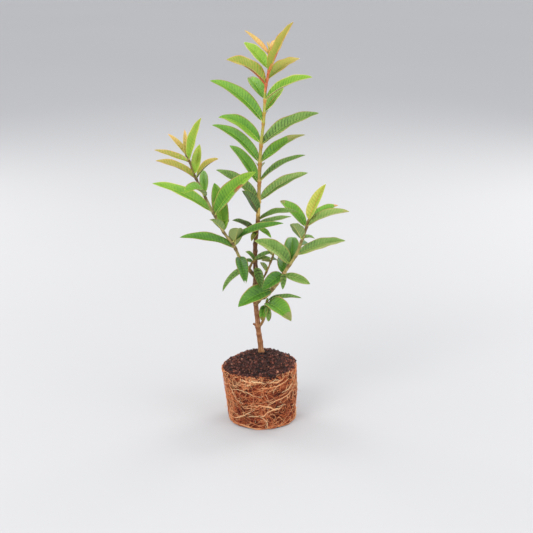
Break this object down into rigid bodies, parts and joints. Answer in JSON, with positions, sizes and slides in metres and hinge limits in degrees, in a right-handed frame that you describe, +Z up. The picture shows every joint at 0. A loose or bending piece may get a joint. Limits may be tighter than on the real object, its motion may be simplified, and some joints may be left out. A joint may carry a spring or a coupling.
{
  "type": "guava sapling on its root ball",
  "caption": "Young guava tree with a slim trunk, two side shoots and arched leaves, standing on the root ball slipped out of its nursery pot.",
  "frame": {"origin": "centre of the root ball's flat underside", "axes": "+Z up along the trunk, -Y towards the front, +X to the right"},
  "size_m": [0.2574, 0.1273, 0.5401],
  "materials": {
    "root_mat": "matte",
    "soil": "matte",
    "bark": "matte",
    "leaf": "satin",
    "young_leaf": "satin"
  },
  "bodies": {
    "root": {"root_ball": "root_mat", "top_soil": "soil", "trunk": "bark", "right_bough": "bark", "left_bough": "bark", "leader_low_leaves": "leaf", "leader_middle_leaves": "leaf", "leader_upper_leaves": "leaf", "leader_tip_leaves": "young_leaf", "right_low_leaves": "leaf", "right_middle_leaves": "leaf", "right_tip_leaves": "young_leaf", "left_low_leaves": "leaf", "left_middle_leaves": "leaf", "left_upper_leaves": "young_leaf", "left_tip_leaves": "young_leaf", "low_twig_leaves": "leaf", "thin_twig_leaves": "leaf", "middle_twig_leaves": "leaf"}
  },
  "joints": []
}
